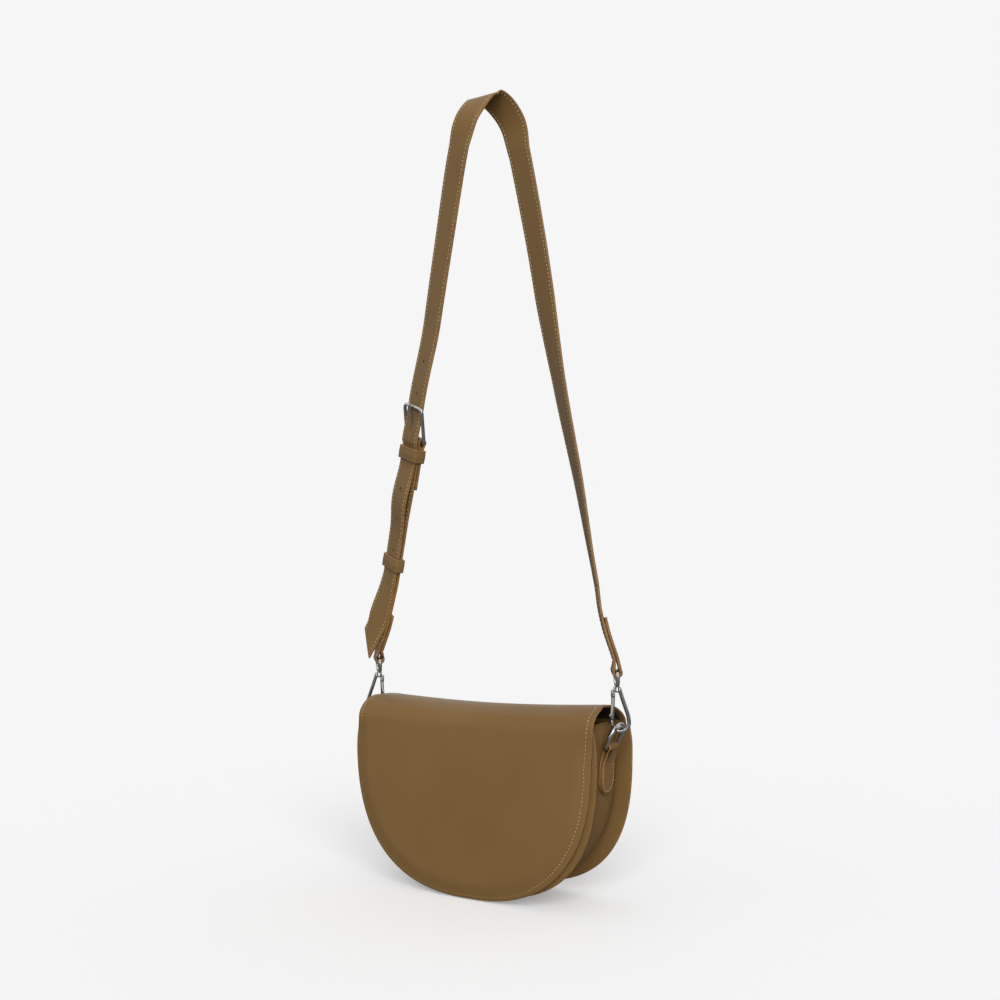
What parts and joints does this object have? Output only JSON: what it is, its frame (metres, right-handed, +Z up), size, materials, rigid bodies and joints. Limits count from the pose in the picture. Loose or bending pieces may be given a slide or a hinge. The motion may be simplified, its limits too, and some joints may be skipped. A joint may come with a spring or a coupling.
{
  "type": "half moon crossbody bag",
  "caption": "Half moon leather crossbody bag with a fold-over flap, magnetic snap, side rings, swivel hooks and a buckled strap that hangs it.",
  "frame": {"origin": "under the crest of the strap, where the bag hangs on a peg or shoulder", "axes": "+Z up along the hanging strap, +X to the right of the bag seen from the flap side, -Y out of the flap front"},
  "size_m": [0.2561, 0.07, 0.6548],
  "materials": {
    "leather": "smooth semi-matt",
    "lining": "woven matt",
    "nickel": "polished"
  },
  "bodies": {
    "strap": {"strap_long": "leather", "strap_short": "leather", "keeper_fixed": "leather"},
    "keeper": {"keeper_sliding": "leather"},
    "buckle": {"buckle_frame": "nickel"},
    "prong": {"buckle_prong": "nickel"},
    "bag": {"back_panel": "leather", "front_panel": "leather", "gusset": "leather", "gusset_lining": "lining", "front_lining": "lining", "back_lining": "lining", "slip_pocket": "lining", "snap_female": "nickel", "left_tab": "leather", "right_tab": "leather"},
    "flap_top": {"flap_top": "leather", "flap_top_lining": "lining"},
    "flap_front": {"flap_front": "leather", "flap_lining": "lining", "snap_male": "nickel"},
    "right_eye": {"right_hook_eye": "nickel"},
    "right_hook": {"right_hook_body": "nickel", "right_gate_pin": "nickel"},
    "right_gate": {"right_hook_gate": "nickel"},
    "right_ring": {"right_ring": "nickel"},
    "left_eye": {"left_hook_eye": "nickel"},
    "left_hook": {"left_hook_body": "nickel", "left_gate_pin": "nickel"},
    "left_gate": {"left_hook_gate": "nickel"},
    "left_ring": {"left_ring": "nickel"}
  },
  "joints": [
    {"name": "bag_swing", "type": "hinge", "parent": "strap", "child": "bag", "pos_m": [0.0073, 0.0006, -0.51555], "axis": [1, 0, 0], "range_deg": [-30, 30]},
    {"name": "flap_fold", "type": "hinge", "parent": "flap_top", "child": "flap_front", "pos_m": [0.0073, -0.02762, -0.49654], "axis": [-1, 0, 0], "range_deg": [0, 100]},
    {"name": "flap_lift", "type": "hinge", "parent": "bag", "child": "flap_top", "pos_m": [0.0073, 0.0326, -0.51], "axis": [-1, 0, 0], "range_deg": [0, 20]},
    {"name": "right_eye_rock", "type": "hinge", "parent": "strap", "child": "right_eye", "pos_m": [0.11907, 0.0006, -0.4638], "axis": [0.5, -0.866, 0], "range_deg": [-0.5, 0.5]},
    {"name": "right_hook_swivel", "type": "hinge", "parent": "right_eye", "child": "right_hook", "pos_m": [0.11907, 0.0006, -0.4638], "axis": [0, 0, 1], "range_deg": [-45, 5]},
    {"name": "right_gate_pivot", "type": "hinge", "parent": "right_hook", "child": "right_gate", "pos_m": [0.11676, -0.00079, -0.4825], "axis": [0.515, -0.8572, 0], "range_deg": [0, 20], "stiffness_Nm_per_rad": 0.02, "springref_deg": -17.19},
    {"name": "right_ring_tilt", "type": "hinge", "parent": "bag", "child": "right_ring", "pos_m": [0.11415, 0.0006, -0.523], "axis": [0, 1, 0], "range_deg": [-2, 0]},
    {"name": "left_eye_rock", "type": "hinge", "parent": "strap", "child": "left_eye", "pos_m": [-0.10834, 0.0006, -0.46612], "axis": [0.6428, -0.766, 0], "range_deg": [-0.5, 0.5]},
    {"name": "left_hook_swivel", "type": "hinge", "parent": "left_eye", "child": "left_hook", "pos_m": [-0.10834, 0.0006, -0.46612], "axis": [0, 0, 1], "range_deg": [-45, 0]},
    {"name": "left_gate_pivot", "type": "hinge", "parent": "left_hook", "child": "left_gate", "pos_m": [-0.10602, 0.00199, -0.48482], "axis": [-0.515, 0.8572, 0], "range_deg": [0, 20], "stiffness_Nm_per_rad": 0.02, "springref_deg": -17.19},
    {"name": "left_ring_tilt", "type": "hinge", "parent": "bag", "child": "left_ring", "pos_m": [-0.09955, 0.0006, -0.523], "axis": [0, 1, 0], "range_deg": [0, 2]},
    {"name": "buckle_tilt", "type": "hinge", "parent": "strap", "child": "buckle", "pos_m": [-0.06593, -0.01065, -0.28459], "axis": [0.8699, -0.4362, -0.2303], "range_deg": [0, 1.5]},
    {"name": "prong_pivot", "type": "hinge", "parent": "buckle", "child": "prong", "pos_m": [-0.06593, -0.01065, -0.28459], "axis": [0.8699, -0.4362, -0.2303], "range_deg": [0, 2]},
    {"name": "keeper_slide", "type": "slide", "parent": "strap", "child": "keeper", "axis": [0.2271, -0.0603, 0.972], "range_m": [0, 0.018]}
  ],
  "couplings": [
    {"joint": "flap_lift", "follows": "flap_fold", "ratio": 0.2}
  ]
}
